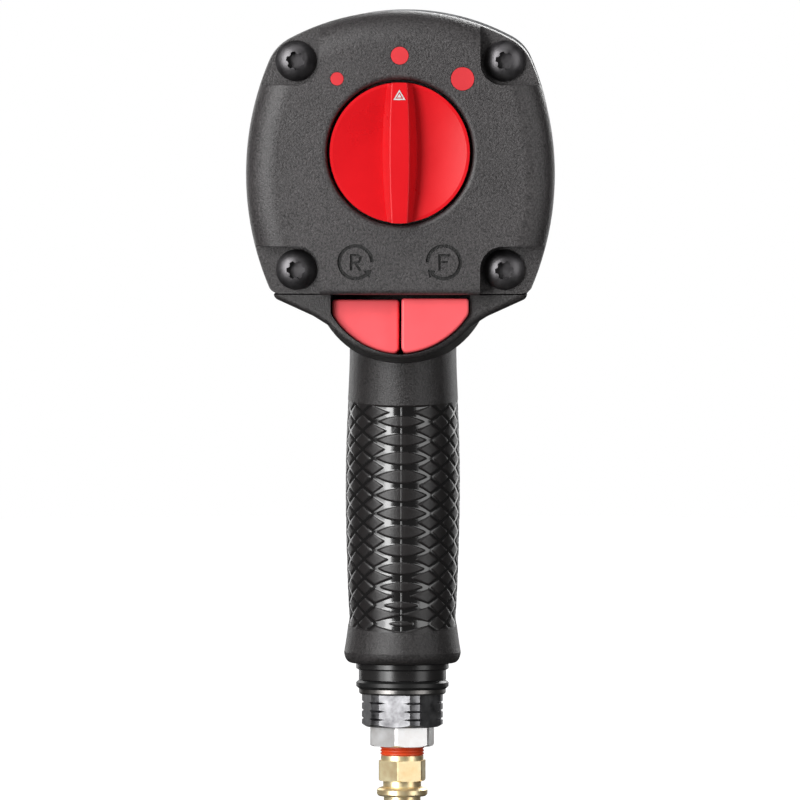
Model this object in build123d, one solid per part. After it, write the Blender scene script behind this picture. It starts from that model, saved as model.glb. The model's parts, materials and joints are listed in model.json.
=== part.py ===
"""Pistol-grip pneumatic impact wrench with a 3/4 inch square drive.

Millimetres. The origin is on the drive axis at the anvil's shoulder, where a socket's mouth ends.
+Y runs out of the square drive, +Z is up and the handle hangs down. Three frames are used:
the drive axis (turned parts along Y), HANDLE (the raked handle, s measured down its axis)
and BUTTON (the tilted pocket of the two direction buttons, z pointing out of the pocket).
"""

import math
import os

from build123d import *

# ---------------------------------------------------------------- driving dimensions
DRIVE = 19.05  # 3/4 inch square
DRIVE_LENGTH = 25.0
PIN_HOLE_RADIUS = 3.0
PIN_HOLE_Y = 10.5

HEAD_TOP = 47.6  # outline of the head, shared by cover, housing and case flange
HEAD_HALF_WIDTH = 47.8
TOP_RADIUS = 73.0
SIDE_RADIUS = 89.5
SIDE_CENTRE_Z = -3.0
HEAD_CORNER = 14.0
CHIN_CORNER = 2.2
COVER_BOTTOM = -40.6
COVER_LIFT = 0.9  # the cover's lower edge stands this much above the housing's

CASE_BACK = -94.0
GASKET = 0.8
HOUSING_FRONT = CASE_BACK - GASKET
HOUSING_BACK = -168.2
COVER_FRONT = HOUSING_BACK - GASKET
COVER_FACE = -188.0
COVER_ROLL = 9.5  # the rolled edge round the cover's face
POCKET_FLOOR = -181.2
POCKET_WALL = 24.7
SCREW_SPACING = 32.2  # the cover's screws, each way from the drive axis
CASE_SCREW_SPACING = 33.2

KNOB_Z = 4.1
KNOB_RADIUS = 21.5
KNOB_RECESS_RADIUS = 22.4
KNOB_RIM = -188.6
KNOB_TOP = -193.0
DISH_DEPTH = 2.6
POINTER_Z = KNOB_Z + 17.4
RECESS_FLOOR = -180.0
MARK_CIRCLE = 29.7
MARK_TURN = 40.4
MARK_RADII = (2.0, 2.7, 3.55)

RAKE = 6.0
HANDLE = Plane(
    origin=(0, -136, -60),
    x_dir=(1, 0, 0),
    z_dir=(0, math.sin(math.radians(RAKE)), math.cos(math.radians(RAKE))),
)
GRIP_TOP = -76.2  # the sleeve ends level at these heights
GRIP_BOTTOM = -147.8
GRIP_SKIN = 2.0
HANDLE_END = 100.6
CAVITY = (12.4, 16.0)  # half width and half depth of the hollow in the handle

BUTTON_TILT = 8.0
BUTTON = Plane(
    origin=(0, -182, -48),
    x_dir=(1, 0, 0),
    z_dir=(0, -math.cos(math.radians(BUTTON_TILT)), math.sin(math.radians(BUTTON_TILT))),
)
BUTTON_HALF_WIDTH = 21.2
BUTTON_TOP = 6.8
BUTTON_SHOULDER = 2.1  # where each button's outer side turns into the lower arc
BUTTON_BOTTOM = -10.2
BUTTON_BELLY = (12.1, -6.75)  # a point that the lower arc passes through
BUTTON_TRAVEL = 5.0
BUTTON_PROUD = 2.2
BUTTON_LENGTH = 15.0
BUTTON_STEM_LENGTH = 7.0
BUTTON_STEM_X = 13.0
POCKET_DEPTH = 19.0
CHIN_RADIUS = 28.4
CHIN_BOTTOM = -11.8
CHIN_LENGTH = 34.0  # past the rocker's room, so that its front stays closed
SHOULDER_BACK = -178.6
SHOULDER_HOLLOW = 9.0  # the hollow curve where each shoulder meets the chin
ROCKER_Z = -26.0
VALVE_RADIUS = 5.0

TRIGGER_S = 10.0

PLUG_END = 166.0  # the tip of the air plug, down the handle's axis

MOTOR_BORE = 33.3
CYLINDER_RADIUS = 33.1
CYLINDER_BORE = 26.0
CYLINDER_OFFSET = 2.9
ROTOR_RADIUS = 22.95
ROTOR_FRONT = -98.4
ROTOR_BACK = -147.8
VANES = 6
CAGE_RADIUS = 36.9
HAMMER_PIN_Z = 28.0
HAMMER_ZONES = ((-62.4, -47.6), (-78.4, -63.6))

CENTRE_MIN = (Align.CENTER, Align.CENTER, Align.MIN)


# ---------------------------------------------------------------- helpers
def along_y(start, end, radius, x=0.0, z=0.0):
    """A cylinder along Y from start to end."""
    return Pos(x, start, z) * Rot(-90, 0, 0) * Cylinder(radius, end - start, align=CENTRE_MIN)


def ring_y(start, end, outer, inner, x=0.0, z=0.0):
    return along_y(start, end, outer, x, z) - along_y(start - 1, end + 1, inner, x, z)


def turned_y(*points):
    """A solid turned about the drive axis from (y, radius) points."""
    return revolve(make_face(Polyline(*[(r, y) for y, r in points], close=True)), Axis.Y)


def slab(sketch, front, back):
    """A sketch in (x, z), extruded along Y between two planes."""
    return Pos(0, front, 0) * extrude(Plane.XZ * sketch, front - back)


def turned_handle(*points):
    """A solid turned about the handle's axis from (s, radius) points."""
    outline = Plane.XZ * make_face(Polyline(*[(r, -s) for s, r in points], close=True))
    return HANDLE.location * revolve(outline, Axis.Z)


def handle_tube(top, bottom, outer, inner=0.0):
    solid = Pos(0, 0, -bottom) * Cylinder(outer, bottom - top, align=CENTRE_MIN)
    if inner:
        solid -= Pos(0, 0, -bottom - 1) * Cylinder(inner, bottom - top + 2, align=CENTRE_MIN)
    return HANDLE.location * solid


def handle_hex(top, bottom, across_flats, corner_radius, turn, chamfer=0.0):
    """A hexagon on the handle's axis, its corners turned down to corner_radius."""
    prism = extrude(RegularPolygon(across_flats / 2, 6, major_radius=False), bottom - top)
    prism = Pos(0, 0, -bottom) * Rot(0, 0, turn) * prism
    low = corner_radius - chamfer
    blank = make_face(
        Polyline(
            (0, -top), (corner_radius, -top), (corner_radius, -bottom + chamfer * 0.6),
            (low, -bottom), (0, -bottom), close=True,
        )
    )
    return HANDLE.location * (prism & revolve(Plane.XZ * blank, Axis.Z))


def four(x, z):
    """The four points (+-x, +-z)."""
    return [(i * x, k * z) for i in (-1, 1) for k in (-1, 1)]


def spring(radius, wire, length, turns):
    """A round-wire compression spring standing on the XY plane."""
    coil = Helix(pitch=length / turns, height=length, radius=radius)
    section = Plane(origin=coil @ 0, z_dir=coil % 0) * Circle(wire / 2)
    return sweep(section, coil, is_frenet=True)


# ---------------------------------------------------------------- head outline
def head_outline(lowest, grow=0.0):
    """The rounded-square outline of the head in (x, z), cut flat at lowest."""
    reach = SIDE_RADIUS - HEAD_HALF_WIDTH
    shape = Pos(0, HEAD_TOP - TOP_RADIUS) * Circle(TOP_RADIUS + grow)
    for side in (-1, 1):
        shape &= Pos(side * reach, SIDE_CENTRE_Z) * Circle(SIDE_RADIUS + grow)
    window = Pos(0, (lowest + 60) / 2) * Rectangle(140, 60 - lowest)
    shape &= window
    shape = fillet(shape.vertices().group_by(Axis.Y)[-1], HEAD_CORNER)
    return fillet(shape.vertices().group_by(Axis.Y)[0], CHIN_CORNER)


def shoulder_outline(top=COVER_BOTTOM - 0.4):
    """The shape under the head that narrows to the chin in a hollow curve on each side."""
    wide, waist, narrow = 39.7, 27.0, 21.6
    shape = make_face(
        Polyline((0, top + 4), (wide - 1, top + 4), (wide, top), (waist, top - 5.8),
                 (narrow, top - 9.2), (0, top - 9.2), close=True)
    )
    corners = shape.vertices().filter_by(lambda v: abs(v.X - wide) < 0.01)
    shape = fillet(corners, CHIN_CORNER)
    hollow = shape.vertices().filter_by(lambda v: abs(v.X - waist) < 0.01)
    shape = fillet(hollow, SHOULDER_HOLLOW)
    return shape + mirror(shape, Plane.YZ)


# ---------------------------------------------------------------- handle
HANDLE_SECTIONS = (  # s, half width, half depth
    (-14, 18.2, 27.0),
    (2, 17.1, 25.0),
    (22, 17.9, 23.3),
    (45, 18.4, 22.4),
    (67, 18.0, 21.4),
    (86, 17.1, 20.4),
)
FLARE_SECTIONS = ((86, 17.1, 20.4), (91.5, 17.8, 21.0), (97.2, 18.7, 21.6))
END_SECTIONS = ((97.2, 18.7, 21.6), (99.2, 18.2, 21.0), (HANDLE_END, 15.2, 16.8))


def elliptic_loft(sections, shrink=0.0):
    rings = [Pos(0, 0, -s) * Ellipse(a - shrink, b - shrink) for s, a, b in sections]
    return HANDLE.location * loft(rings)


def handle_body(shrink=0.0):
    body = elliptic_loft(HANDLE_SECTIONS, shrink) + elliptic_loft(FLARE_SECTIONS, shrink)
    return body + elliptic_loft(END_SECTIONS, shrink)


def grip_slab():
    """The slice of the handle that the grip sleeve covers."""
    return Pos(0, HANDLE.origin.Y, GRIP_BOTTOM) * Box(80, 120, GRIP_TOP - GRIP_BOTTOM, align=CENTRE_MIN)


def grip_sleeve():
    return (handle_body() & grip_slab()) - handle_body(GRIP_SKIN) - trigger_pocket()


# ---------------------------------------------------------------- direction buttons
def button_outline(grow=0.0):
    """Both buttons' common shape in the BUTTON frame, straight above and arched below."""
    w, top, low = BUTTON_HALF_WIDTH + grow, BUTTON_TOP + grow, BUTTON_BOTTOM - grow
    x, y = BUTTON_BELLY
    belly = (x + grow * 0.45, y - grow * 0.9)
    edge = Line((w, BUTTON_SHOULDER), (w, top)) + Line((w, top), (0, top))
    edge += ThreePointArc((w, BUTTON_SHOULDER), belly, (0, low))
    shape = make_face(edge + Line((0, top), (0, low)))
    outer = shape.vertices().sort_by(Axis.X)[-2:].sort_by(Axis.Y)
    shape = fillet(outer[0], 3.5)
    return shape + mirror(shape, Plane.YZ)


def direction_button(side):
    """One button; side -1 is reverse, pressed in at rest, and +1 is forward, standing out."""
    gap = 0.45
    face = BUTTON_PROUD if side > 0 else BUTTON_PROUD - BUTTON_TRAVEL
    outline = button_outline() & Pos(side * (20 + gap), 0) * Rectangle(40, 60)
    inner = outline.vertices().filter_by(lambda v: abs(v.X) < 2).sort_by(Axis.Y)
    outline = fillet(inner[0], 1.8)
    corners = outline.vertices().group_by(Axis.Y)[-1]
    outline = fillet(corners, 0.9)
    body = Pos(0, 0, face - BUTTON_LENGTH) * extrude(outline, BUTTON_LENGTH)
    body = fillet(body.faces().sort_by(Axis.Z)[-1].edges(), 0.8)
    low = face - BUTTON_LENGTH - BUTTON_STEM_LENGTH
    stem = Pos(side * BUTTON_STEM_X, -2, low) * Cylinder(2.5, BUTTON_STEM_LENGTH + 1, align=CENTRE_MIN)
    return BUTTON.location * (body + stem)


def boss():
    """The chin of the housing that carries the buttons."""
    outline = Pos(0, CHIN_BOTTOM + CHIN_RADIUS) * Circle(CHIN_RADIUS)
    outline &= Pos(0, -2) * Rectangle(49.8, 24)
    body = Pos(0, 0, -CHIN_LENGTH) * extrude(outline, CHIN_LENGTH)
    body += Pos(0, 0, -4) * extrude(shoulder_outline(7.6), 4)
    rim = body.faces().sort_by(Axis.Z)[-1].edges().filter_by(lambda e: e.center().Y < 9)
    return BUTTON.location * fillet(rim, 1.6)


def shoulders():
    return slab(shoulder_outline(), HOUSING_FRONT, SHOULDER_BACK)


def button_pocket():
    pocket = Pos(0, 0, -POCKET_DEPTH) * extrude(button_outline(0.4), POCKET_DEPTH + 5)
    pocket += Pos(0, 7.5, -POCKET_DEPTH) * Box(43.2, 5, POCKET_DEPTH + 5, align=CENTRE_MIN)
    rocker_room = Pos(0, -1.9, ROCKER_Z - 5.5) * Box(33.8, 6.2, 14, align=CENTRE_MIN)
    return BUTTON.location * (pocket + rocker_room)


def rocker_axis():
    """The pivot of the rocker and the reverse valve, z along it, at the stems' height."""
    return BUTTON.location * Pos(0, 0, ROCKER_Z) * Rot(-90, 0, 0)


def rocker_arm():
    bar = Box(31, 3.6, 4)
    bar += Cylinder(5, 4)
    for side in (-1, 1):
        bar += Pos(side * BUTTON_STEM_X, -1.8, 0) * Cylinder(1.6, 4)
    bar -= Cylinder(2.05, 10)
    rest = math.degrees(BUTTON_TRAVEL / 2 / BUTTON_STEM_X)
    return rocker_axis() * Pos(0, 0, -2) * Rot(0, 0, -rest) * bar


def reverse_valve():
    """A plug on the rocker's pivot with a slot across it that sends the air one way or the other."""
    plug = Pos(0, 0, 2) * Cylinder(VALVE_RADIUS, 9, align=CENTRE_MIN)
    plug -= Pos(0, 3, 6.5) * Box(4, 7, 5)
    pin = Pos(0, 0, -8) * Cylinder(2.0, 10.5, align=CENTRE_MIN)
    return rocker_axis() * (plug + pin)


def reverse_valve_bush():
    sleeve = Cylinder(VALVE_RADIUS + 1.4, 9, align=CENTRE_MIN) - Cylinder(VALVE_RADIUS + 0.05, 30)
    for turn in (-25, 25, 180):
        sleeve -= Rot(0, 0, turn) * Pos(0, VALVE_RADIUS + 1.5, 4.5) * Box(3.2, 7, 4)
    return rocker_axis() * Pos(0, 0, 2) * sleeve


# ---------------------------------------------------------------- housing
def motor_housing():
    body = slab(head_outline(COVER_BOTTOM - 0.01), HOUSING_FRONT, HOUSING_BACK)
    body += handle_body() - grip_slab()
    body += handle_body(GRIP_SKIN) & grip_slab()
    under_cover = Pos(0, -190, 0) * Box(120, 2 * (190 + COVER_FRONT) + 2 * GASKET, 2 * -COVER_BOTTOM - 1)
    body += (boss() + shoulders()) - under_cover
    body -= along_y(-160, HOUSING_FRONT + 1, MOTOR_BORE)
    body -= along_y(HOUSING_BACK - 1, -159, 28)
    body -= button_pocket()
    body -= rocker_axis() * (Pos(0, 0, 0.5) * Cylinder(VALVE_RADIUS + 1.42, 11, align=CENTRE_MIN))
    body -= rocker_axis() * (Pos(0, 0, -8.3) * Cylinder(2.1, 10, align=CENTRE_MIN))
    for x, z in four(SCREW_SPACING, SCREW_SPACING):
        body -= along_y(HOUSING_BACK - 1, HOUSING_BACK + 10, 4.2, x, z)
        body -= along_y(HOUSING_BACK + 9, HOUSING_BACK + 14, 3.1, x, z)
    for x, z in four(CASE_SCREW_SPACING, CASE_SCREW_SPACING):
        body -= along_y(HOUSING_FRONT - 12, HOUSING_FRONT + 1, 3.8, x, z)
        body -= along_y(HOUSING_FRONT - 17, HOUSING_FRONT - 11, 2.6, x, z)
    hollow = Pos(0, 0, -92) * extrude(Ellipse(*CAVITY), 92 - 26)
    body -= HANDLE.location * hollow
    body -= handle_tube(5, 48, 11.6)
    body -= handle_tube(88, HANDLE_END + 1, 13.5)
    for bore in (5.02, TRIGGER_BORE_RADIUS):
        length = 20 if bore > 5 else 30
        body -= trigger_axis() * Cylinder(bore, length, align=CENTRE_MIN)
    body -= trigger_pocket()
    return body


# ---------------------------------------------------------------- rear cover
def corner_pockets():
    """Cutters for the four corners where the screws sit lower than the cover's face."""
    size = 40
    shapes = []
    for x, z in four(1, 1):
        corner = Pos(x * (POCKET_WALL + size / 2), z * (POCKET_WALL + size / 2)) * Rectangle(size, size)
        inner = corner.vertices().sort_by(lambda v: abs(v.X) + abs(v.Y))[0]
        shapes.append(slab(fillet(inner, 7.0), POCKET_FLOOR, COVER_FACE - 1))
    return shapes


def direction_mark(x, z, way):
    """An engraved turning arrow; way +1 turns anticlockwise as seen from behind."""
    outer, inner = 5.6, 4.5
    arc = Circle(outer) - Circle(inner)
    gap = make_face(Polyline((0, 0), (9, 0), (9, -9), (0.0, 0.0), close=True))
    arc -= gap
    mean = (outer + inner) / 2
    tip = make_face(Polyline((0, -1.5), (0, 1.5), (2.2, 0), close=True))
    arc += Rot(0, 0, -48) * Pos(0, 0) * Pos(mean, 0) * Rot(0, 0, 90) * tip
    if way < 0:
        arc = mirror(arc, Plane.YZ)
    return Pos(x, z) * arc


def letter_f():
    bars = Pos(-1.3, 0) * Rectangle(0.8, 5.2)
    bars += Pos(0.1, 2.2) * Rectangle(3.4, 0.8)
    bars += Pos(-0.1, 0.1) * Rectangle(2.6, 0.8)
    return bars


def letter_r():
    bars = Pos(-1.3, 0) * Rectangle(0.8, 5.2)
    bowl = Circle(1.55) - Circle(0.8)
    bowl &= Pos(2, 0) * Rectangle(4, 8)
    bars += Pos(0.35, 1.05) * bowl
    for y in (2.225, -0.125):
        bars += Pos(-0.3, y) * Rectangle(1.6, 0.75)
    bars += Pos(0.75, -1.45) * Rot(0, 0, -57) * Rectangle(2.9, 0.8)
    return bars


def cover_window(low):
    """A broad shape, level at low and eased at the corners, that trims the cover's lower edge."""
    shape = make_face(
        Polyline((-38.5, low), (38.5, low), (60, low + 14), (60, 60), (-60, 60), (-60, low + 14), close=True)
    )
    return fillet(shape.vertices().group_by(Axis.Y)[0], 5)


def rear_cover():
    cover = slab(head_outline(-70), COVER_FRONT, COVER_FACE)
    rim = cover.faces().sort_by(Axis.Y)[0].outer_wire().edges()
    rim = rim.filter_by(lambda e: e.center().Z > -65)
    cover = fillet(rim, COVER_ROLL)
    low = COVER_BOTTOM + COVER_LIFT
    cover &= slab(cover_window(low), COVER_FRONT + 1, COVER_FACE - 1)
    bottom = cover.edges().filter_by(Axis.X).filter_by(lambda e: e.center().Z < low + 0.1)
    cover = fillet(bottom.sort_by(Axis.Y)[0], 1.8)
    for cutter in corner_pockets():
        cover -= cutter
    cover -= along_y(COVER_FACE - 5, RECESS_FLOOR, KNOB_RECESS_RADIUS, z=KNOB_Z)
    mouth = cover.edges().filter_by(GeomType.CIRCLE)
    mouth = mouth.filter_by(lambda e: abs(e.radius - KNOB_RECESS_RADIUS) < 0.01).sort_by(Axis.Y)[0]
    cover = fillet(mouth, 1.5)
    cover -= along_y(RECESS_FLOOR - 1, COVER_FRONT + 1, 8.1, z=KNOB_Z)
    cover -= along_y(-176, COVER_FRONT + 1, 24, z=0)
    cover -= along_y(RECESS_FLOOR - 1, RECESS_FLOOR + 3.6, 1.3, x=15.5, z=KNOB_Z)
    for x, z in four(SCREW_SPACING, SCREW_SPACING):
        cover -= along_y(POCKET_FLOOR - 1, COVER_FRONT + 1, 3.1, x, z)
    depth = 0.5
    for (x, z), radius in zip(mark_places(), MARK_RADII):
        cover -= along_y(COVER_FACE - 1, COVER_FACE + depth, radius + 0.15, x, z)
    marks = direction_mark(-13.6, -29.6, 1) + direction_mark(13.6, -29.6, -1)
    marks += Pos(-13.6, -29.6) * letter_r() + Pos(13.6, -29.6) * letter_f()
    cover -= slab(marks, COVER_FACE + depth, COVER_FACE - 1)
    return cover


def mark_places():
    """Where the knob points at its three settings, from low power to high."""
    turns = [math.radians(t) for t in (-MARK_TURN, 0, MARK_TURN)]
    return [(MARK_CIRCLE * math.sin(t), KNOB_Z + MARK_CIRCLE * math.cos(t)) for t in turns]


def power_marks():
    discs = [
        along_y(COVER_FACE - 0.05, COVER_FACE + 0.49, radius, x, z)
        for (x, z), radius in zip(mark_places(), MARK_RADII)
    ]
    return Compound(children=discs)


def rear_gasket():
    shape = head_outline(COVER_BOTTOM + COVER_LIFT) - Circle(29)
    for x, z in four(SCREW_SPACING, SCREW_SPACING):
        shape -= Pos(x, z) * Circle(3.2)
    return slab(shape, HOUSING_BACK - 0.05, COVER_FRONT + 0.05)


def torx(radius):
    shape = Circle(radius)
    for k in range(6):
        shape -= Rot(0, 0, 60 * k) * Pos(radius * 1.06, 0) * Circle(radius * 0.28)
    return shape


def cover_screw(turn):
    """A button-head screw along +Z, its head's underside at 0 and the head above."""
    base, height, edge = 6.25, 3.7, 0.7
    profile = make_face(
        Polyline((0, 0), (base, 0), (base, edge))
        + ThreePointArc((base, edge), (4.1, 2.95), (0, height))
        + Line((0, height), (0, 0))
    )
    head = revolve(Plane.XZ * profile, Axis.Z)
    head -= Rot(0, 0, turn) * Pos(0, 0, height - 2.6) * extrude(torx(2.85), 3)
    shank = Pos(0, 0, -22) * Cylinder(2.9, 22, align=CENTRE_MIN)
    return head + shank


def cover_screws():
    turns = (90, 75, 95, 80)
    places = four(SCREW_SPACING, SCREW_SPACING)
    screws = [
        Pos(x, POCKET_FLOOR, z) * Rot(90, 0, 0) * cover_screw(turn)
        for (x, z), turn in zip(places, turns)
    ]
    return Compound(children=screws)


def inserts(back, length, outer, inner, spacing):
    return Compound(children=[
        ring_y(back, back + length, outer, inner, x, z) for x, z in four(spacing, spacing)
    ])


# ---------------------------------------------------------------- power regulator
def regulator_knob():
    """The dial: a dished disc with a ridge across it."""
    dish_rim = KNOB_RADIUS - 0.9
    dish_radius = (dish_rim**2 + DISH_DEPTH**2) / (2 * DISH_DEPTH)
    disc = along_y(KNOB_RIM, RECESS_FLOOR - 0.3, KNOB_RADIUS, z=KNOB_Z)
    disc -= Pos(0, KNOB_RIM + DISH_DEPTH - dish_radius, KNOB_Z) * Sphere(dish_radius)
    middle, end, reach = 3.1, 2.35, KNOB_RADIUS + 1
    sides = ThreePointArc((end, -reach), (middle, 0), (end, reach))
    sides += Line((end, reach), (-end, reach))
    sides += ThreePointArc((-end, reach), (-middle, 0), (-end, -reach))
    sides += Line((-end, -reach), (end, -reach))
    ridge = extrude(make_face(sides), -8.4, taper=-18)
    ridge = Pos(0, KNOB_TOP, KNOB_Z) * Rot(90, 0, 0) * ridge
    ridge &= along_y(KNOB_TOP - 1, RECESS_FLOOR - 0.3, KNOB_RADIUS, z=KNOB_Z)
    crest = ridge.faces().sort_by(Axis.Y)[0].edges()
    knob = disc + fillet(crest.filter_by(lambda e: abs(e.center().X) > 1), 0.55)
    knob -= along_y(-184.5, RECESS_FLOOR + 1, 6.03, z=KNOB_Z)
    for turn in (-MARK_TURN, 0, MARK_TURN):
        at = math.radians(90 + turn)
        x, z = 15.5 * math.sin(at), KNOB_Z + 15.5 * math.cos(at)
        knob -= Pos(x, RECESS_FLOOR - 0.3, z) * Sphere(1.0)
    knob -= slab(Pos(0, POINTER_Z) * pointer_shape(0.1), KNOB_TOP + 0.4, KNOB_TOP - 1)
    return knob


def triangle(half_width):
    """A triangle about the origin, pointing up."""
    low, high = -0.62 * half_width, 1.05 * half_width
    return make_face(Polyline((-half_width, low), (half_width, low), (0, high), close=True))


def pointer_shape(grow=0.0):
    """A triangular outline round a small triangle."""
    return triangle(1.9 + grow) - triangle(1.2 - grow) + triangle(0.7 + grow)


def knob_pointer():
    return slab(Pos(0, POINTER_Z) * pointer_shape(), KNOB_TOP + 0.38, KNOB_TOP)


def regulator_valve():
    """The spindle that the knob turns, with the throttling disc on its inner end."""
    spindle = along_y(-184.4, RECESS_FLOOR + 0.2, 6.0, z=KNOB_Z)
    stem = along_y(RECESS_FLOOR + 0.2, -175.2, 8.0, z=KNOB_Z) - ring_y(-178.9, -177.1, 9, 6.9, z=KNOB_Z)
    disc = along_y(-175.2, -170.4, 15.0, z=KNOB_Z)
    journal = along_y(-170.4, -169.3, 5.0, z=KNOB_Z)
    for turn, radius in ((-60, 1.6), (-20, 2.4), (20, 3.2)):
        at = math.radians(turn + 180)
        disc -= along_y(-176, -169, radius, 10 * math.sin(at), KNOB_Z + 10 * math.cos(at))
    return spindle + stem + disc + journal


def regulator_o_ring():
    return ring_y(-178.8, -177.2, 8.05, 6.95, z=KNOB_Z)


def detent_ball():
    return Pos(15.5, RECESS_FLOOR + 1.0, KNOB_Z) * Sphere(1.15)


def detent_spring():
    coil = spring(0.85, 0.3, 1.1, 2.5)
    return Pos(15.5, RECESS_FLOOR + 3.4, KNOB_Z) * Rot(90, 0, 0) * coil


# ---------------------------------------------------------------- hammer case and nose
def hammer_case():
    shell = turned_y(
        (-3.0, 0), (-3.0, 20.0), (-4.0, 21.0), (-22.0, 22.0), (-27.0, 24.5),
        (-42.0, 38.5), (-49.0, 42.0), (-90.0, 42.4), (-90.0, 0),
    )
    shell = fillet(shell.edges().filter_by(GeomType.CIRCLE).filter_by(
        lambda e: 22.5 < e.radius < 42.2 and e.center().Y > -60), 3.0)
    shell += slab(head_outline(COVER_BOTTOM, 0.8), -86.0, CASE_BACK)
    shell += slab(shoulder_outline(), -86.0, CASE_BACK)
    for x, z in four(1, 1):
        rib = Pos(0, -74, 0) * Rot(0, 45 * x * z + (0 if z > 0 else 180), 0) * Pos(0, 0, 40)
        shell += rib * Box(9, 26, 6)
    shell -= turned_y((-9.0, 0), (-9.0, 17.0), (-36.0, 17.0), (-36.0, 18.2), (-40.5, 18.2),
                      (-40.5, 33.0), (-45.0, 37.6), (-95.0, 37.6), (-95.0, 0))
    shell -= along_y(-10, 0, 14.6)
    shell -= along_y(-8.2, 0, 17.5) - along_y(-4.4, 0, 17.6)
    for x, z in four(CASE_SCREW_SPACING, CASE_SCREW_SPACING):
        shell -= along_y(-95, -80, 2.8, x, z)
        shell -= along_y(-86, -60, 4.9, x, z)
    shell -= Pos(0, -58, 30) * Cylinder(3.0, 20, align=CENTRE_MIN)
    return shell


def nose_bushing():
    return ring_y(-36.0, -9.1, 16.95, 13.76)


def nose_seal():
    return ring_y(-8.1, -4.5, 17.4, 13.78)


def grease_plug():
    plug = Pos(0, -58, 37.9) * Cylinder(2.95, 4.4, align=CENTRE_MIN)
    return plug - Pos(0, -58, 40.6) * extrude(RegularPolygon(1.5, 6), 3)


def case_screw():
    """A socket-head screw along +Z, its head's underside at 0."""
    screw = Cylinder(4.25, 5, align=CENTRE_MIN)
    screw = chamfer(screw.edges().sort_by(Axis.Z)[-1], 0.5)
    screw -= Pos(0, 0, 2.4) * extrude(RegularPolygon(2.3, 6), 4)
    return screw + Pos(0, 0, -23) * Cylinder(2.45, 23.5, align=CENTRE_MIN)


def case_screws():
    return Compound(children=[
        Pos(x, -86.0, z) * Rot(-90, 0, 0) * case_screw()
        for x, z in four(CASE_SCREW_SPACING, CASE_SCREW_SPACING)
    ])


def case_gasket():
    shape = head_outline(COVER_BOTTOM) + shoulder_outline() - Circle(37.8)
    for x, z in four(CASE_SCREW_SPACING, CASE_SCREW_SPACING):
        shape -= Pos(x, z) * Circle(3.9)
    return slab(shape, CASE_BACK - 0.05, HOUSING_FRONT + 0.05)


# ---------------------------------------------------------------- anvil
def anvil():
    square = Box(DRIVE, DRIVE_LENGTH, DRIVE, align=(Align.CENTER, Align.MIN, Align.CENTER))
    square = chamfer(square.edges().filter_by(Axis.Y), 1.6)
    square = chamfer(square.faces().sort_by(Axis.Y)[-1].edges(), 1.2)
    square -= ring_y(17.6, 20.8, 16, 8.6)
    body = square + turned_y(
        (0.0, 0), (0.0, 13.0), (-0.7, 13.7), (-36.2, 13.7), (-36.2, 17.5), (-39.8, 17.5),
        (-39.8, 12.8), (-47.5, 12.8), (-47.5, 9.5), (-78.4, 9.5), (-78.4, 0),
    )
    for (back, front), turn in zip(HAMMER_ZONES, (0, 180)):
        wedge = make_face(Polyline((0, 0), (-8, 20), (8, 20), close=True)) & Circle(12.2)
        body += slab(Rot(0, 0, turn) * wedge, front - 0.3, back + 0.3)
    return body - Pos(0, PIN_HOLE_Y, 0) * Rot(0, 90, 0) * Cylinder(PIN_HOLE_RADIUS, 40)


def socket_ring():
    """The split friction ring in the square's groove."""
    ring = ring_y(17.9, 20.5, 10.1, 8.75)
    return ring - Pos(0, 19, 10) * Rot(0, 0, 0) * Box(1.6, 6, 8)


# ---------------------------------------------------------------- hammer mechanism
def hammer_cage():
    cage = turned_y((-41.2, 12.88), (-41.2, 32.9), (-45.2, CAGE_RADIUS), (-47.0, CAGE_RADIUS),
                    (-47.0, 12.88))
    cage += ring_y(-85.4, -79.0, CAGE_RADIUS, 7.9)
    bars = make_face(Polyline((0, 0), (50, 14), (50, -14), close=True))
    bars = (bars + mirror(bars, Plane.YZ)) & Circle(CAGE_RADIUS) - Circle(31.5)
    cage += slab(bars, -46.0, -80.0)
    cage -= spline(8.0, 9.45, 3.0, -86, -78)
    for z in (-HAMMER_PIN_Z, HAMMER_PIN_Z):
        cage -= along_y(-84.0, -43.0, 4.05, z=z)
    return cage


def spline(root, tip, tooth, back, front):
    """A straight-sided spline of eight teeth."""
    shape = Circle(root)
    for k in range(4):
        shape += Rot(0, 0, 45 * k) * Rectangle(2 * tip, tooth)
    return slab(shape & Circle(tip), front, back)


def hammer_pins():
    return Compound(children=[
        along_y(-83.9, -43.1, 4.0, z=z) for z in (-HAMMER_PIN_Z, HAMMER_PIN_Z)
    ])


def hammer(zone, side):
    """A hammer dog that rocks on the pin at side * HAMMER_PIN_Z and clears the other one."""
    back, front = zone
    shape = Circle(35.5) & Rectangle(53, 80)
    opening = Circle(16.5) - (Circle(17) & (Pos(22, 0) * Rectangle(16, 9) + Pos(-22, 0) * Rectangle(16, 9)))
    shape -= opening + Circle(14.2)
    shape -= Pos(0, side * HAMMER_PIN_Z) * Circle(4.1)
    shape -= Pos(0, -side * (HAMMER_PIN_Z + 3)) * Rectangle(16.5, 15)
    return slab(shape, front, back)


# ---------------------------------------------------------------- vane motor
def motor_cylinder():
    shell = ring_y(-148.0, -98.2, CYLINDER_RADIUS, 10)
    shell -= along_y(-149, -97, CYLINDER_BORE, z=CYLINDER_OFFSET)
    for turn in (-20, 0, 20):
        port = Rot(0, 180 + turn, 0) * Pos(0, -123, 30) * Box(5, 18, 16)
        shell -= port
    return shell


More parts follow.
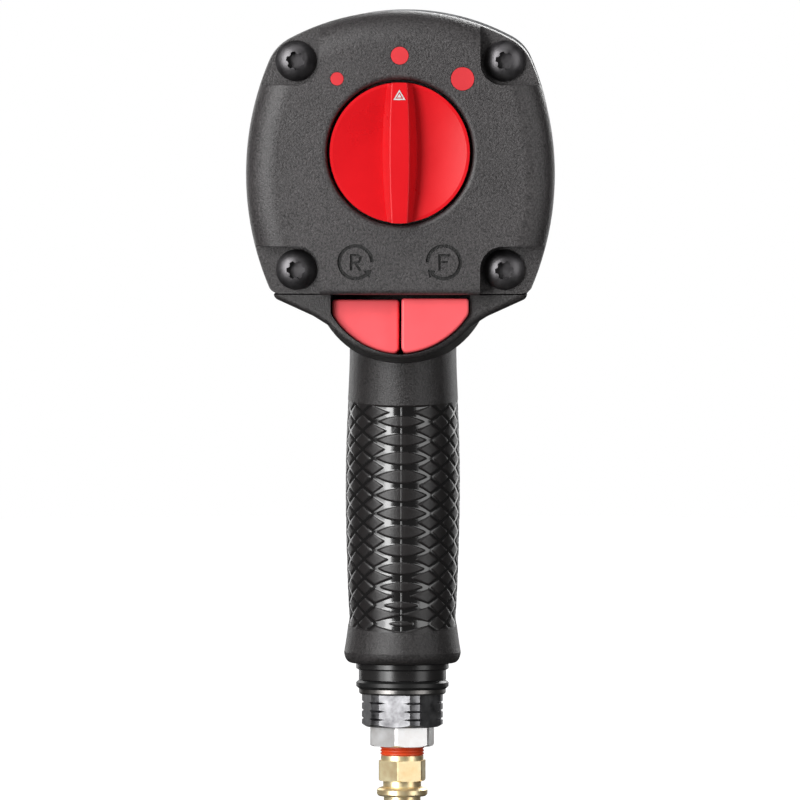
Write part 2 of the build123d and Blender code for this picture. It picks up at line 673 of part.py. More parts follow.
def rotor():
    body = along_y(ROTOR_BACK, ROTOR_FRONT, ROTOR_RADIUS)
    for k in range(VANES):
        slot = Rot(0, 60 * k, 0) * Pos(0, (ROTOR_BACK + ROTOR_FRONT) / 2, 17) * Box(2.5, 60, 14)
        body -= slot
    body += along_y(ROTOR_FRONT - 1, -88.3, 9.98)
    body += along_y(-88.4, -79.4, 7.8)
    body += spline(7.8, 9.3, 2.7, -86.8, -79.4)
    body += along_y(-157.2, ROTOR_BACK + 1, 8.48)
    return body


def rotor_vanes():
    vanes = []
    for k in range(VANES):
        vane = Pos(0, (ROTOR_BACK + ROTOR_FRONT) / 2, 16.5) * Box(2.3, 49.0, 12.6)
        vanes.append(Rot(0, 60 * k, 0) * vane)
    return Compound(children=vanes)


def front_end_plate():
    plate = turned_y((-88.2, 12.0), (-88.2, 37.4), (-93.9, 37.4), (-93.9, CYLINDER_RADIUS),
                     (-98.1, CYLINDER_RADIUS), (-98.1, 12.0))
    return plate - along_y(-97.3, -87, 18.52)


def rear_end_plate():
    plate = ring_y(-159.8, -148.1, CYLINDER_RADIUS, 9.6) - along_y(-161, -149.3, 15.02)
    for x in (-14, 14):
        plate -= along_y(-161, -147, 3.4, x, -21)
    return plate


def bearing(front, width, bore, outer):
    """Outer ring, balls and inner ring of a ball bearing, from its front face back."""
    back = front - width
    third = (outer - bore) / 3
    pitch, ball = (outer + bore) / 2, third * 0.92
    middle = (front + back) / 2
    groove = Pos(0, middle, 0) * Rot(90, 0, 0) * Torus(pitch, third)
    outer_ring = ring_y(back, front, outer, outer - third) - groove
    inner_ring = ring_y(back, front, bore + third, bore) - groove
    count = 9
    balls = [
        Rot(0, 360 * k / count, 0) * Pos(0, middle, pitch) * Sphere(ball) for k in range(count)
    ]
    return outer_ring, Compound(children=balls), inner_ring


def dowel_pins():
    return Compound(children=[along_y(-151.5, -145.5, 1.9, x, z) for x, z in DOWELS])


DOWELS = ((-21.0, -21.0), (21.0, -21.0))


# ---------------------------------------------------------------- trigger and throttle
TRIGGER_BORE_RADIUS = 3.0


def trigger_axis():
    """A frame on the trigger rod, its z pointing out of the handle's front."""
    return HANDLE.location * Pos(0, 0, -TRIGGER_S) * Rot(-90, 0, 0)


def trigger_pocket():
    return trigger_axis() * (Pos(0, -1, 17.0) * Box(12.8, 19.8, 20, align=CENTRE_MIN))


def trigger():
    """The finger lever; x across, y down the handle, z out of it."""
    side = make_face(
        Polyline((-12.5, 31.4), (-13.0, 37.4))
        + ThreePointArc((-13.0, 37.4), (1.0, 34.2), (15.0, 39.0))
        + Polyline((15.0, 39.0), (14.0, 31.4), (-12.5, 31.4))
    )
    body = extrude(Plane.YZ * side, 8.5, both=True)
    body = fillet(body.edges().filter_by(lambda e: e.center().Z > 32.2), 2.4)
    neck = Pos(0, -1, 22.6) * Box(12.2, 19.2, 9.2, align=CENTRE_MIN)
    socket = Pos(0, 0, 20) * Cylinder(2.55, 12, align=CENTRE_MIN)
    return trigger_axis() * (body + neck - socket)


def trigger_rod():
    return trigger_axis() * (Pos(0, 0, 2.3) * Cylinder(2.5, 29.4, align=CENTRE_MIN))


def trigger_bushing():
    sleeve = Cylinder(5.0, 4.9, align=CENTRE_MIN) - Cylinder(2.56, 20)
    return trigger_axis() * Pos(0, 0, 11.9) * sleeve


def throttle_seat():
    return handle_tube(24, 28, 9.7, 5.5)


def throttle_valve():
    """The tilting valve: a disc under the seat and a stem up to the trigger rod."""
    return handle_tube(28.1, 30.6, 7.0) + handle_tube(8, 28.5, 2.0)


def throttle_spring():
    coil = spring(6.2, 0.9, 14.6, 5)
    return HANDLE.location * Pos(0, 0, -45.8) * coil


def inlet_tube():
    return turned_handle((24, 9.75), (24, 11.5), (47.5, 11.5), (50, 9.0), (104, 9.0), (104, 7.4),
                         (46.6, 7.4), (46.6, 9.75))


def muffler():
    shape = Ellipse(CAVITY[0] - 0.4, CAVITY[1] - 0.4) - Circle(9.2)
    return HANDLE.location * (Pos(0, 0, -84) * extrude(shape, 24))


# ---------------------------------------------------------------- air inlet
def exhaust_deflector():
    """The ring that turns by hand to aim the exhaust."""
    ring = turned_handle((97.2, 12.2), (97.2, 13.35), (100.7, 13.35), (100.7, 14.5), (101.0, 14.8),
                         (102.4, 14.8), (102.9, 13.95), (106.0, 13.95), (106.0, 11.1),
                         (105.0, 11.1), (105.0, 12.2))
    for turn in (-36, 0, 36):
        slot = HANDLE.location * Rot(0, 0, turn) * Pos(0, 13, -103.95) * Box(6.4, 6, 1.7)
        ring -= slot
    return ring


def deflector_seal():
    return turned_handle((106.2, 11.1), (106.2, 14.0), (106.9, 14.8), (108.1, 14.8), (108.8, 14.0),
                         (108.8, 11.1))


def inlet_washer():
    return turned_handle((108.95, 11.1), (108.95, 13.9), (110.1, 13.9), (110.6, 13.4), (110.6, 11.1))


def inlet_bushing():
    """The black inlet fitting: a stem up into the handle and a hexagon with notched corners."""
    body = handle_hex(110.7, 121.0, 24.0, 13.0, -11, chamfer=1.4)
    for s in (113.2, 115.8, 118.4):
        notch = turned_handle((s - 0.35, 12.9), (s, 12.3), (s + 0.35, 12.9), (s + 0.35, 14), (s - 0.35, 14))
        body -= notch
    body += handle_tube(93, 111, 11.0)
    body -= handle_tube(92, 104.3, 9.06)
    body -= handle_tube(103, 122, 8.35)
    return body


def inlet_screen():
    disc = Cylinder(8.3, 0.8, align=CENTRE_MIN)
    holes = GridLocations(2.6, 2.6, 5, 5)
    for place in holes:
        if place.position.length < 6.6:
            disc -= place * Cylinder(0.9, 4)
    return HANDLE.location * Pos(0, 0, -106.2) * disc


def reducing_bush():
    body = handle_hex(121.1, 127.2, 19.0, 10.7, 21, chamfer=0.9)
    body += handle_tube(109, 121.2, 8.3)
    body -= handle_tube(108, 128, 6.36)
    return body


def sealed_thread():
    """The sealing compound left on the thread's turns."""
    points = [(127.25, 6.35), (127.25, 6.5)]
    for k in range(3):
        top = 127.3 + 0.95 * k
        points += [(top, 6.55), (top + 0.3, 7.0), (top + 0.6, 7.0), (top + 0.9, 6.55)]
    points += [(130.2, 6.5), (130.2, 6.35)]
    return turned_handle(*points)


def air_plug():
    """The brass plug that a hose coupler grips."""
    body = turned_handle(
        (118.0, 0), (118.0, 6.0), (118.4, 6.33), (130.3, 6.33), (130.3, 6.8), (132.0, 6.8),
        (132.0, 6.1), (140.2, 6.1), (140.6, 7.4), (141.2, 8.1), (142.6, 8.1), (143.2, 7.5), (143.2, 5.9),
        (150.0, 5.9), (151.0, 4.9), (154.0, 4.9), (154.8, 5.6), (PLUG_END - 1.0, 5.6), (PLUG_END, 4.8),
        (PLUG_END, 0),
    )
    body += handle_hex(131.8, 138.3, 14.0, 7.9, 22, chamfer=0.6)
    return body - handle_tube(117, PLUG_END + 1, 3.6)


# ---------------------------------------------------------------- all pieces
def pieces():
    front_outer, front_balls, front_inner = bearing(-88.3, 8.9, 10.0, 18.5)
    rear_outer, rear_balls, rear_inner = bearing(-149.4, 7.0, 8.5, 15.0)
    dowel_cutter = dowel_pins()
    return {
        "motor_housing": motor_housing(),
        "grip_sleeve": grip_sleeve(),
        "rear_cover": rear_cover(),
        "rear_gasket": rear_gasket(),
        "cover_screws": cover_screws(),
        "cover_inserts": inserts(HOUSING_BACK + 0.2, 9.7, 4.18, 2.95, SCREW_SPACING),
        "power_marks": power_marks(),
        "hammer_case": hammer_case(),
        "case_gasket": case_gasket(),
        "case_screws": case_screws(),
        "case_inserts": inserts(HOUSING_FRONT - 11.8, 11.6, 3.78, 2.5, CASE_SCREW_SPACING),
        "nose_bushing": nose_bushing(),
        "nose_seal": nose_seal(),
        "grease_plug": grease_plug(),
        "motor_cylinder": motor_cylinder() - dowel_cutter,
        "front_end_plate": front_end_plate(),
        "rear_end_plate": rear_end_plate() - dowel_cutter,
        "dowel_pins": dowel_cutter,
        "front_bearing_outer_ring": front_outer,
        "front_bearing_balls": front_balls,
        "front_bearing_inner_ring": front_inner,
        "rear_bearing_outer_ring": rear_outer,
        "rear_bearing_balls": rear_balls,
        "rear_bearing_inner_ring": rear_inner,
        "rotor": rotor(),
        "rotor_vanes": rotor_vanes(),
        "hammer_cage": hammer_cage(),
        "hammer_pins": hammer_pins(),
        "front_hammer": hammer(HAMMER_ZONES[0], 1),
        "rear_hammer": hammer(HAMMER_ZONES[1], -1),
        "anvil": anvil(),
        "socket_ring": socket_ring(),
        "regulator_knob": regulator_knob(),
        "knob_pointer": knob_pointer(),
        "regulator_valve": regulator_valve(),
        "regulator_o_ring": regulator_o_ring(),
        "detent_ball": detent_ball(),
        "detent_spring": detent_spring(),
        "reverse_button": direction_button(-1),
        "forward_button": direction_button(1),
        "rocker_arm": rocker_arm(),
        "reverse_valve": reverse_valve(),
        "reverse_valve_bush": reverse_valve_bush(),
        "trigger": trigger(),
        "trigger_rod": trigger_rod(),
        "trigger_bushing": trigger_bushing(),
        "throttle_seat": throttle_seat(),
        "throttle_valve": throttle_valve(),
        "throttle_spring": throttle_spring(),
        "inlet_tube": inlet_tube(),
        "muffler": muffler(),
        "exhaust_deflector": exhaust_deflector(),
        "deflector_seal": deflector_seal(),
        "inlet_washer": inlet_washer(),
        "inlet_bushing": inlet_bushing(),
        "inlet_screen": inlet_screen(),
        "reducing_bush": reducing_bush(),
        "sealed_thread": sealed_thread(),
        "air_plug": air_plug(),
    }


os.makedirs("parts", exist_ok=True)
for name, shape in pieces().items():
    export_step(shape, f"parts/{name}.step")
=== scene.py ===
"""Looks of the impact wrench: materials for the CAD pieces, a patterned grip sleeve, a pale studio.

Metres. The frame is the CAD's: origin on the drive axis at the square's shoulder, +Y out of the
square, +Z up. The handle frame has its origin on the handle's axis and s runs down that axis.
"""

import json
import math

import bmesh
import bpy
import numpy as np
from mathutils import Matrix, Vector
from mathutils.bvhtree import BVHTree

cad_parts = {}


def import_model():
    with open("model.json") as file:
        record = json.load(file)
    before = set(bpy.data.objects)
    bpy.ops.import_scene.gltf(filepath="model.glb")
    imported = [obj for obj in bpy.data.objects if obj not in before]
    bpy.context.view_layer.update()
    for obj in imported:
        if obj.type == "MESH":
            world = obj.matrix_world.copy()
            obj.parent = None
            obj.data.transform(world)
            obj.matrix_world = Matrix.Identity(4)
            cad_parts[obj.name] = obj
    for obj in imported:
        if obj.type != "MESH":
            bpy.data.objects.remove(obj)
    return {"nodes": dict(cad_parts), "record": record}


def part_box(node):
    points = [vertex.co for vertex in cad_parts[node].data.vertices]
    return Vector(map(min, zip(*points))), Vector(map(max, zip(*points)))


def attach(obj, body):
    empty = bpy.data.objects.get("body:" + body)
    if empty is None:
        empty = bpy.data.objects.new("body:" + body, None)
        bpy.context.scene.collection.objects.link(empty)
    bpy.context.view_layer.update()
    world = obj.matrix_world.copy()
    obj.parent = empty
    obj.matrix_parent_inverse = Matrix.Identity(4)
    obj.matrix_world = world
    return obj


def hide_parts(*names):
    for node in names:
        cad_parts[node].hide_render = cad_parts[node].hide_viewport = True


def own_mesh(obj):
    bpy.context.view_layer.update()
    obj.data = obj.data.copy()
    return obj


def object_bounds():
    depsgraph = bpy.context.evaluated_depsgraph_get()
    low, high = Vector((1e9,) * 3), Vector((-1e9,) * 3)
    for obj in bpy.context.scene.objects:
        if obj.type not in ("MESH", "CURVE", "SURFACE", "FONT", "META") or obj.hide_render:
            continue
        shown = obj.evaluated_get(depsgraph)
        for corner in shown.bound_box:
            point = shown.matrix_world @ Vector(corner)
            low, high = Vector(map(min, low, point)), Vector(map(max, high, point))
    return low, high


MM = 0.001

# the handle's axis, as in the CAD
RAKE = math.radians(6)
HANDLE_TOP = Vector((0, -136, -60)) * MM
DOWN = Vector((0, -math.sin(RAKE), -math.cos(RAKE)))
FORWARD = Vector((0, math.cos(RAKE), -math.sin(RAKE)))
RIGHT = Vector((1, 0, 0))

# grip pattern, in millimetres: u runs round the handle from its rear spine, s down its axis
ROW_PITCH = 5.8
FIRST_ROW = 23.8
ROWS = 12
ROW_HALF_HEIGHTS = (1.66, 1.85, 1.95, 2.05, 2.1, 2.1, 2.05, 1.87, 1.75, 1.4, 0.95, 0.65)
ROW_HALF_WIDTHS = (7.1, 7.9, 8.1, 8.2, 8.2, 8.2, 8.1, 8.0, 7.9, 7.4, 6.0, 4.2)
TIP_REACH = (4.0, 4.9, 5.5, 5.9, 6.1, 6.1, 5.9, 5.8, 4.8, 3.4, 3.2, 0.0)
DIAMOND_FIRST = 9.7
DIAMOND_STEP = 4.6
DIAMOND_HALF = (3.45, 2.15)
GROOVE_DEPTH = 0.4
SIDE_SHALLOWING = 0.16  # how much shallower the grooves are away from the spine
PAD_SLOPE = 0.3
SKIN_CLEARANCE = 0.12
SLEEVE_THICKNESS = 1.9
SEAM_HEIGHT = 0.1
SEAM_HALF_WIDTH = 0.16
GROOVE_LIMIT = 0.2  # faces lower than this, from 0 to 1, are glossy groove

# the sleeve's mesh, and the table of the handle's radii that it is drawn on
COLUMNS = 512
SPINE_COLUMNS = (-0.9, -0.6, -0.3, 0.3, 0.6, 0.9)  # extra ones beside the parting line, in degrees
OUTER_RINGS = 301
INNER_RINGS = 9
TABLE_DEPTHS = (14.2, 91.2, 90)
TABLE_ANGLES = 121

# where the direction marks' floors are, in millimetres: below the cover's face, and on it
MARK_DEPTHS = (0.1, 0.8)
MARK_WINDOW = (("X", -21, 21), ("Z", -36, -22))

# the gap at the sleeve's front that the trigger's neck passes through
NOTCH_END = 18.9
NOTCH_HALF_WIDTH = 6.4
NOTCH_HALF_ANGLE = 0.42

# the studio, in metres
MIDDLE = Vector((0, -0.15, -0.06))
AMBIENT = 0.14
MIRRORED_AMBIENT = 0.045  # what shows in reflections, which keeps the outlines dark
FLOOR_GLOW = 0.95
FLOOR_RADIUS = 3.0
FLOOR_DROP = 0.25
CAMERA_PLACE = Vector((27.34, -1489.03, 41.74)) * MM
CAMERA_ELEVATION = 5.0
CAMERA_AZIMUTH = 1.2
LENS = 190.5


# ---------------------------------------------------------------- materials
def new_material(name):
    material = bpy.data.materials.new(name)
    material.use_nodes = True
    tree = material.node_tree
    shader = tree.nodes["Principled BSDF"]
    return material, tree, shader


def noise(tree, scale, detail=4.0, roughness=0.6):
    place = tree.nodes.new("ShaderNodeTexCoord")
    texture = tree.nodes.new("ShaderNodeTexNoise")
    texture.inputs["Scale"].default_value = scale
    texture.inputs["Detail"].default_value = detail
    texture.inputs["Roughness"].default_value = roughness
    tree.links.new(place.outputs["Object"], texture.inputs["Vector"])
    return texture


def ramp(tree, source, low, high, at=(0.3, 0.7)):
    """A colour ramp from low to high, driven by source."""
    node = tree.nodes.new("ShaderNodeValToRGB")
    for element, place, colour in zip(node.color_ramp.elements, at, (low, high)):
        element.position = place
        element.color = (*colour, 1)
    tree.links.new(source, node.inputs["Fac"])
    return node


def spread(tree, source, low, high):
    """Maps a 0.3..0.7 noise value to low..high."""
    node = tree.nodes.new("ShaderNodeMapRange")
    node.inputs["From Min"].default_value = 0.3
    node.inputs["From Max"].default_value = 0.7
    node.inputs["To Min"].default_value = low
    node.inputs["To Max"].default_value = high
    tree.links.new(source, node.inputs["Value"])
    return node


def bump(tree, shader, source, strength, distance):
    node = tree.nodes.new("ShaderNodeBump")
    node.inputs["Strength"].default_value = strength
    node.inputs["Distance"].default_value = distance
    tree.links.new(source, node.inputs["Height"])
    tree.links.new(node.outputs["Normal"], shader.inputs["Normal"])


def clouded(tree, shader, cloud, low, high, smooth, rough):
    """Varies the colour from low to high, and the roughness from smooth to rough."""
    tint = ramp(tree, cloud.outputs["Fac"], low, high)
    tree.links.new(tint.outputs["Color"], shader.inputs["Base Color"])
    gloss = spread(tree, cloud.outputs["Fac"], smooth, min(1, rough))
    tree.links.new(gloss.outputs["Result"], shader.inputs["Roughness"])


def moulded(name, colour, roughness, grain=0.0, grain_scale=2600, mottle=0.12, ior=1.5):
    """Moulded plastic or rubber: slight mottle in colour and gloss, and a fine grain."""
    material, tree, shader = new_material(name)
    cloud = noise(tree, 60, 5)
    low = [c * (1 - mottle) for c in colour]
    high = [min(1, c * (1 + mottle)) for c in colour]
    clouded(tree, shader, cloud, low, high, roughness * 0.88, roughness * 1.12)
    if grain:
        fine = noise(tree, grain_scale, 3)
        bump(tree, shader, fine.outputs["Fac"], grain, 0.0002)
    shader.inputs["IOR"].default_value = ior
    return material


def within(tree, value, low, high):
    """1 where value lies between low and high, and 0 elsewhere."""
    node = tree.nodes.new("ShaderNodeMath")
    node.operation = "COMPARE"
    node.inputs[1].default_value = (low + high) / 2
    node.inputs[2].default_value = (high - low) / 2
    tree.links.new(value, node.inputs[0])
    return node.outputs["Value"]


def shade_engraved_marks(tree, shader, face):
    """Painted shade: darkens the floors of the direction marks, which lie a little below the cover's
    face, to near black.
    """
    place = tree.nodes.new("ShaderNodeTexCoord")
    axes = tree.nodes.new("ShaderNodeSeparateXYZ")
    tree.links.new(place.outputs["Object"], axes.inputs["Vector"])
    shallow, deep = MARK_DEPTHS
    mark_shade_mask = within(tree, axes.outputs["Y"], face + shallow * MM, face + deep * MM)
    for axis, low, high in MARK_WINDOW:
        both = tree.nodes.new("ShaderNodeMath")
        both.operation = "MULTIPLY"
        tree.links.new(mark_shade_mask, both.inputs[0])
        tree.links.new(within(tree, axes.outputs[axis], low * MM, high * MM), both.inputs[1])
        mark_shade_mask = both.outputs["Value"]
    # painted shade: the recessed floors of the marks are mixed to a near-black colour
    mix = tree.nodes.new("ShaderNodeMixRGB")
    mix.inputs["Color2"].default_value = (0.006, 0.0055, 0.0055, 1)
    base = shader.inputs["Base Color"].links[0].from_socket
    tree.links.new(mark_shade_mask, mix.inputs["Fac"])
    tree.links.new(base, mix.inputs["Color1"])
    tree.links.new(mix.outputs["Color"], shader.inputs["Base Color"])


def composite(name, colour):
    """Glass-filled nylon: dark and matt, with a fine bright grain all over."""
    material, tree, shader = new_material(name)
    cloud = noise(tree, 45, 6)
    speck = noise(tree, 1600, 3, 0.75)
    low = [c * 0.86 for c in colour]
    high = [c * 1.14 for c in colour]
    base = ramp(tree, cloud.outputs["Fac"], low, high)
    bright = ramp(tree, speck.outputs["Fac"], (0.4, 0.4, 0.4), (2.1, 2.1, 2.1), (0.34, 0.72))
    mix = tree.nodes.new("ShaderNodeMixRGB")
    mix.blend_type = "MULTIPLY"
    mix.inputs["Fac"].default_value = 1.0
    tree.links.new(base.outputs["Color"], mix.inputs["Color1"])
    tree.links.new(bright.outputs["Color"], mix.inputs["Color2"])
    tree.links.new(mix.outputs["Color"], shader.inputs["Base Color"])
    gloss = spread(tree, speck.outputs["Fac"], 0.33, 0.46)
    tree.links.new(gloss.outputs["Result"], shader.inputs["Roughness"])
    bump(tree, shader, speck.outputs["Fac"], 0.8, 0.00025)
    return material


def metal(name, colour, roughness, streak=0.0, wear=None, metallic=1.0):
    """Machined or cast metal; wear is a second, brighter colour that shows in patches."""
    material, tree, shader = new_material(name)
    shader.inputs["Metallic"].default_value = metallic
    cloud = noise(tree, 260, 5)
    low = [c * 0.92 for c in colour]
    high = [min(1, c * 1.06) for c in (wear or colour)]
    clouded(tree, shader, cloud, low, high, roughness * 0.88, roughness * 1.14)
    if streak:
        fine = noise(tree, 1400, 2)
        bump(tree, shader, fine.outputs["Fac"], streak, 0.0001)
    return material


def make_materials():
    return {
        "composite": composite("composite", (0.024, 0.022, 0.022)),
        "cover_composite": composite("cover_composite", (0.039, 0.036, 0.0365)),
        "grip_groove": moulded("grip_groove", (0.008, 0.0075, 0.0075), 0.17, ior=1.75),
        "grip_rubber": moulded("grip_rubber", (0.0145, 0.0128, 0.0128), 0.38, grain=0.3),
        "red_knob": moulded("red_knob", (0.64, 0.007, 0.012), 0.3, mottle=0.04, ior=1.33),
        # the buttons' own red, lightened and pinked beyond it by a painted sheen
        "red_button": moulded("red_button", (0.9, 0.1, 0.115), 0.42, mottle=0.05),
        "red_mark": moulded("red_mark", (0.62, 0.022, 0.03), 0.5, mottle=0.08),
        "pointer_silver": metal("pointer_silver", (0.85, 0.84, 0.84), 0.3, metallic=0.4),
        "black_screw": metal(
            "black_screw", (0.11, 0.105, 0.11), 0.46, streak=0.25, wear=(0.16, 0.155, 0.16)
        ),
        "case_alloy": metal("case_alloy", (0.5, 0.51, 0.52), 0.42, streak=0.25),
        "plate_steel": metal("plate_steel", (0.34, 0.34, 0.35), 0.4, streak=0.2),
        "steel": metal("steel", (0.58, 0.58, 0.58), 0.25),
        "dark_steel": metal(
            "dark_steel", (0.17, 0.165, 0.16), 0.36, streak=0.15, wear=(0.26, 0.25, 0.24)
        ),
        "bronze": metal("bronze", (0.55, 0.36, 0.18), 0.42, streak=0.2),
        "brass_insert": metal("brass_insert", (0.7, 0.5, 0.22), 0.35),
        "brass": metal("brass", (0.94, 0.69, 0.36), 0.34, wear=(1.0, 0.84, 0.54), metallic=0.78),
        "gasket_fibre": moulded("gasket_fibre", (0.03, 0.028, 0.026), 0.85, grain=0.3),
        "seal_rubber": moulded("seal_rubber", (0.012, 0.012, 0.012), 0.38),
        "vane_resin": moulded("vane_resin", (0.12, 0.06, 0.03), 0.55),
        "acetal": moulded("acetal", (0.6, 0.59, 0.55), 0.4),
        "black_plastic": moulded("black_plastic", (0.02, 0.02, 0.02), 0.5),
        "gloss_black": moulded("gloss_black", (0.018, 0.017, 0.017), 0.28),
        "muffler_felt": moulded("muffler_felt", (0.3, 0.29, 0.27), 0.95, grain=0.8, grain_scale=900),
        "black_nickel": metal("black_nickel", (0.13, 0.128, 0.135), 0.34, wear=(0.34, 0.34, 0.35)),
        "zinc_steel": metal(
            "zinc_steel", (0.95, 0.92, 0.9), 0.34, wear=(1.0, 0.98, 0.96), metallic=0.78
        ),
        "sealant": moulded("sealant", (0.72, 0.07, 0.012), 0.45, grain=0.5, grain_scale=900),
    }


# ---------------------------------------------------------------- grip sleeve
def pattern_height(u, s):
    """0 in the glossy grooves and 1 on the matt pads, with a short slope between them."""
    u = np.abs(u)
    row = (s - FIRST_ROW) / ROW_PITCH
    k = np.clip(np.round(row), 0, ROWS - 1).astype(int)
    lens = 1 - (u / np.take(ROW_HALF_WIDTHS, k)) ** 2
    height = np.take(ROW_HALF_HEIGHTS, k) * lens - np.abs(s - FIRST_ROW - k * ROW_PITCH)
    column = (u - DIAMOND_FIRST) / DIAMOND_STEP
    for c in (np.floor(column), np.floor(column) + 1):
        c = np.maximum(c, 0)
        offset = np.where(c % 2 == 0, 0.5, 0.0)
        nearest = np.round(row + offset) - offset
        du = u - DIAMOND_FIRST - c * DIAMOND_STEP
        ds = np.abs(s - FIRST_ROW - nearest * ROW_PITCH)
        tip = np.take(TIP_REACH, np.clip(nearest + 0.5, 0, ROWS - 1).astype(int))
        half_u = np.where((c == 0) & (du < 0), DIAMOND_FIRST - tip, DIAMOND_HALF[0])
        inside = 1 - np.abs(du) / half_u - ds / DIAMOND_HALF[1]
        from_edge = half_u * DIAMOND_HALF[1] / np.hypot(half_u, DIAMOND_HALF[1])
        height = np.maximum(height, inside * from_edge)
    return np.clip(height / PAD_SLOPE + 0.5, 0, 1)


def handle_radii():
    """Distances from the handle's axis to its surface, over (s, angle) in millimetres and radians."""
    vertices, faces = [], []
    for node in ("grip_sleeve", "motor_housing"):
        mesh = frame["nodes"][node].data
        first = len(vertices)
        vertices += [v.co.copy() for v in mesh.vertices]
        faces += [[first + i for i in p.vertices] for p in mesh.polygons]
    tree = BVHTree.FromPolygons(vertices, faces)
    depths = np.linspace(*TABLE_DEPTHS)
    angles = np.linspace(0, 2 * math.pi, TABLE_ANGLES)
    table = np.zeros((len(depths), len(angles)))
    for i, s in enumerate(depths):
        axis = HANDLE_TOP + DOWN * s * MM
        for j, angle in enumerate(angles):
            outward = RIGHT * math.sin(angle) - FORWARD * math.cos(angle)
            hit = tree.ray_cast(axis + outward * 60 * MM, -outward, 60 * MM)[0]
            table[i, j] = (hit - axis).length / MM if hit else 0
        if s < NOTCH_END + 1:
            beside = np.abs(angles - math.pi) > NOTCH_HALF_ANGLE
            table[i] = np.interp(angles, angles[beside], table[i][beside])
    return depths, angles, table


def interpolate(depths, angles, table, s, angle):
    i = np.clip((s - depths[0]) / (depths[1] - depths[0]), 0, len(depths) - 1.001)
    j = np.clip(angle / (angles[1] - angles[0]), 0, len(angles) - 1.001)
    i0, j0 = i.astype(int), j.astype(int)
    fi, fj = i - i0, j - j0
    near = table[i0, j0] * (1 - fj) + table[i0, j0 + 1] * fj
    far = table[i0 + 1, j0] * (1 - fj) + table[i0 + 1, j0 + 1] * fj
    return near * (1 - fi) + far * fi


def level_rings(radii, angle, level):
    """Where rays at these angles from the handle's axis meet the surface at world heights level."""
    radius = np.full(angle.shape, 20.0)
    for _ in range(5):
        s = (HANDLE_TOP.z / MM - level + radius * np.cos(angle) * math.sin(RAKE)) / math.cos(RAKE)
        radius = interpolate(*radii, s, angle)
    return s, radius


def handle_points(s, angle, radius):
    axis = np.array(HANDLE_TOP) + s[..., None] * MM * np.array(DOWN)
    outward = np.sin(angle)[..., None] * np.array(RIGHT) - np.cos(angle)[..., None] * np.array(FORWARD)
    return (axis + outward * radius[..., None] * MM).reshape(-1, 3)


def distance_round(radii, angle):
    """How far each angle is from the rear spine, along the handle's girth."""
    girth = interpolate(*radii, np.full(angle.shape, 52.0), angle)
    x, y = girth * np.sin(angle), girth * np.cos(angle)
    arc = np.concatenate([[0], np.cumsum(np.hypot(np.diff(x), np.diff(y)))])
    full = arc[-1] + math.hypot(x[0] - x[-1], y[0] - y[-1])
    return np.where(arc < full / 2, arc, arc - full)


def grip_mesh():
    """The sleeve with its raised pads and its parting line, cut away for the trigger's neck."""
    low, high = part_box("grip_sleeve")
    radii = handle_radii()
    beside_spine = np.radians(SPINE_COLUMNS) % (2 * math.pi)
    turn = np.sort(np.concatenate([np.arange(COLUMNS) * 2 * math.pi / COLUMNS, beside_spine]))
    outer_share = np.linspace(0, 1, OUTER_RINGS)
    inner_share = np.linspace(1, 0, INNER_RINGS)
    top, bottom = high[2] / MM - 0.02, low[2] / MM + 0.02
    angle, level = np.meshgrid(turn, top + (bottom - top) * outer_share)
    s, radius = level_rings(radii, angle, level)
    around = np.broadcast_to(distance_round(radii, turn), s.shape)
    raised = pattern_height(around, s)
    rim = np.minimum(level - bottom, top - level)
    raised = np.maximum(raised, np.clip(1.6 - rim / 0.25, 0, 1))
    seam = SEAM_HEIGHT * np.clip(1.5 - np.abs(around) / SEAM_HALF_WIDTH, 0, 1)
    depth = GROOVE_DEPTH - SIDE_SHALLOWING * np.clip((np.abs(around) - 6) / 8, 0, 1)
    outer = handle_points(s, angle, radius - SKIN_CLEARANCE - (1 - raised) * depth + seam)
    angle, level = np.meshgrid(turn, top + (bottom - top) * inner_share)
    s, radius = level_rings(radii, angle, level)
    inner = handle_points(s, angle, radius - SLEEVE_THICKNESS)
    columns, rings = len(turn), len(outer_share) + len(inner_share)
    ring, column = np.meshgrid(np.arange(rings), np.arange(columns), indexing="ij")
    after, below = (column + 1) % columns, (ring + 1) % rings
    quads = np.stack([
        ring * columns + column, below * columns + column,
        below * columns + after, ring * columns + after,
    ], -1).reshape(-1, 4)
    mesh = bpy.data.meshes.new("grip_pattern")
    mesh.from_pydata(np.concatenate([outer, inner]).tolist(), [], quads.tolist())
    mesh.materials.append(materials["grip_rubber"])
    mesh.materials.append(materials["grip_groove"])
    height = np.concatenate([raised.reshape(-1), np.ones(len(inner))])
    groove = height[quads].mean(1) < GROOVE_LIMIT
    mesh.polygons.foreach_set("material_index", groove.astype(np.int32))
    mesh.polygons.foreach_set("use_smooth", np.ones(len(quads), bool))
    mesh.update()
    piece = bpy.data.objects.new("grip_pattern", mesh)
    bpy.context.scene.collection.objects.link(piece)
    cut_notch(piece)
    piece.data.set_sharp_from_angle(angle=math.radians(75))
    return piece


def cut_notch(piece):
    """Opens the sleeve at its front for the trigger's neck."""
    box = bmesh.new()
    bmesh.ops.create_cube(box, size=1)
    away = FORWARD * 25 * MM
    for vertex in box.verts:
        side, down, out = vertex.co
        along = HANDLE_TOP + DOWN * (NOTCH_END - 10 + down * 20) * MM
        vertex.co = along + away + RIGHT * side * 2 * NOTCH_HALF_WIDTH * MM + FORWARD * out * 20 * MM
    mesh = bpy.data.meshes.new("notch")
    box.to_mesh(mesh)
    box.free()
    cutter = bpy.data.objects.new("notch", mesh)
    bpy.context.scene.collection.objects.link(cutter)
    cut = piece.modifiers.new("notch", "BOOLEAN")
    cut.operation = "DIFFERENCE"
    cut.object = cutter
    cut.solver = "EXACT"
    depsgraph = bpy.context.evaluated_depsgraph_get()
    result = bpy.data.meshes.new_from_object(piece.evaluated_get(depsgraph))
    piece.modifiers.clear()
    piece.data = result
    bpy.data.objects.remove(cutter)


